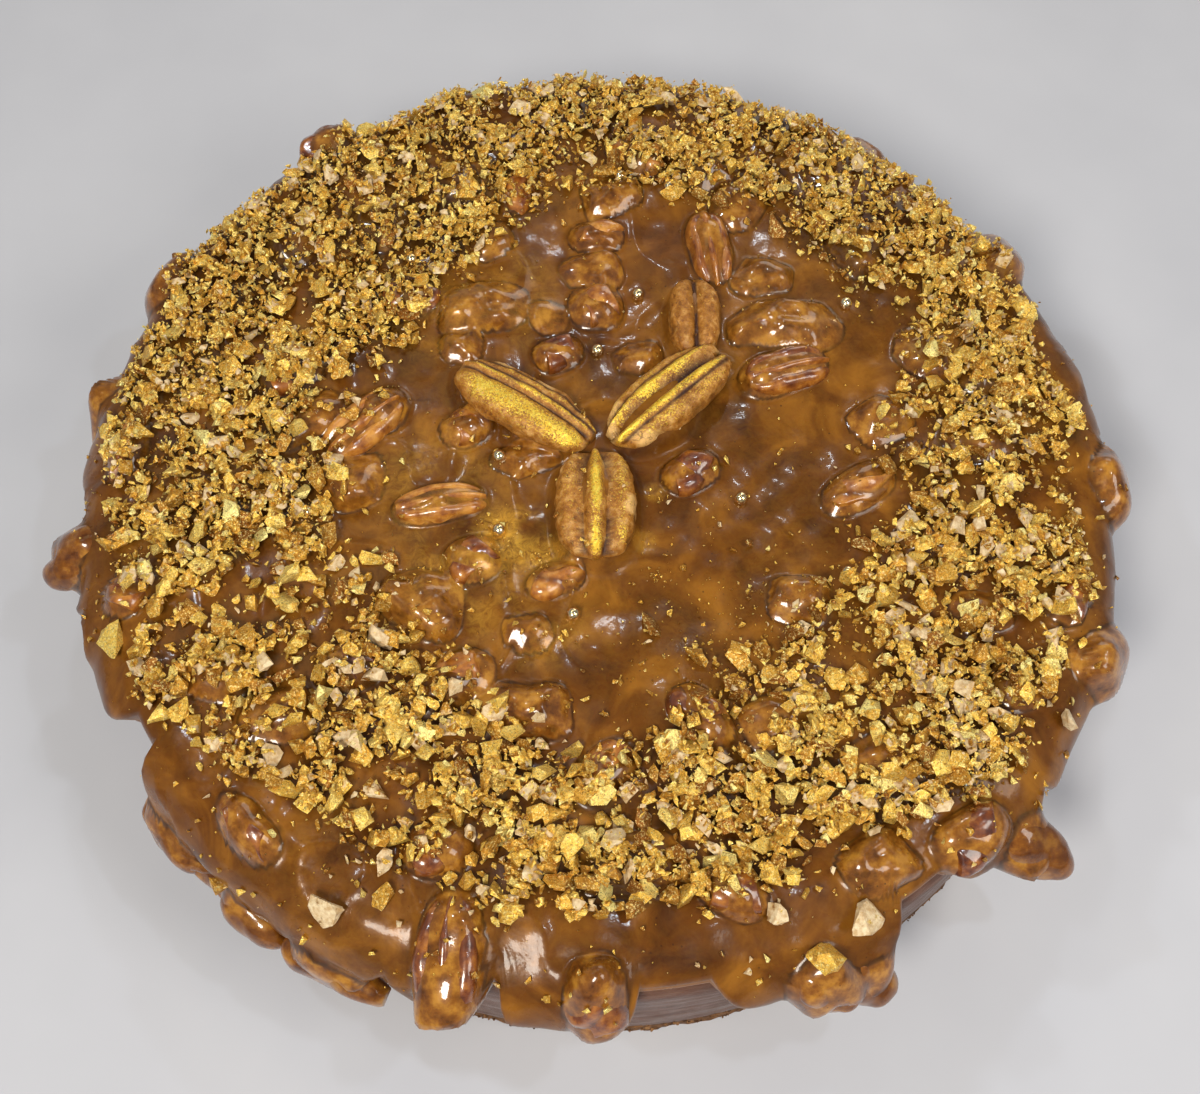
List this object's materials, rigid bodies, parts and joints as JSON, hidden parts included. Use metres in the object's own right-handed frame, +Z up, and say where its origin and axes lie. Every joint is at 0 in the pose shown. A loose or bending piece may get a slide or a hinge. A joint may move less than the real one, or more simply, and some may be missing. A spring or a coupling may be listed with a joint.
{
  "type": "pecan topped cheesecake",
  "caption": "Tall round baked cake on a crumb base, with a thick glossy caramel topping that drips over the rim, bare pecans, chopped nuts and small metallic balls.",
  "frame": {"origin": "middle of the cake's flat underside", "axes": "+Z up, -Y towards the front of the cake as pictured, +X to the right"},
  "size_m": [0.2457, 0.243, 0.0613],
  "materials": {
    "crumb": "baked biscuit crumb, matte and rough",
    "filling": "smooth baked filling, satin",
    "caramel": "wet glossy caramel",
    "golden_pecan": "dry pecan half dusted with gold lustre",
    "wet_pecan": "pecan wet with caramel, glossy",
    "gold_chips": "chopped nuts coated with gold lustre dust",
    "metallic_balls": "polished pearl sugar balls"
  },
  "bodies": {
    "root": {"crumb_base": "crumb", "filling": "filling", "caramel_topping": "caramel", "pecan_star_left": "golden_pecan", "pecan_star_right": "golden_pecan", "pecan_star_front": "golden_pecan", "pecan_star_back": "golden_pecan", "pecan_01": "wet_pecan", "pecan_02": "wet_pecan", "pecan_03": "wet_pecan", "pecan_04": "wet_pecan", "pecan_05": "wet_pecan", "pecan_06": "wet_pecan", "pecan_07": "wet_pecan", "pecan_08": "wet_pecan", "pecan_09": "wet_pecan", "pecan_10": "wet_pecan", "pecan_11": "wet_pecan", "pecan_12": "wet_pecan", "pecan_13": "wet_pecan", "pecan_14": "wet_pecan", "pecan_15": "wet_pecan", "pecan_16": "wet_pecan", "pecan_17": "wet_pecan", "pecan_18": "wet_pecan", "pecan_19": "wet_pecan", "pecan_20": "wet_pecan", "pecan_21": "wet_pecan", "pecan_22": "wet_pecan", "pecan_23": "wet_pecan", "pecan_24": "wet_pecan", "pecan_25": "wet_pecan", "pecan_26": "wet_pecan", "pecan_27": "wet_pecan", "pecan_28": "wet_pecan", "pecan_29": "wet_pecan", "pecan_30": "wet_pecan"}
  },
  "joints": []
}
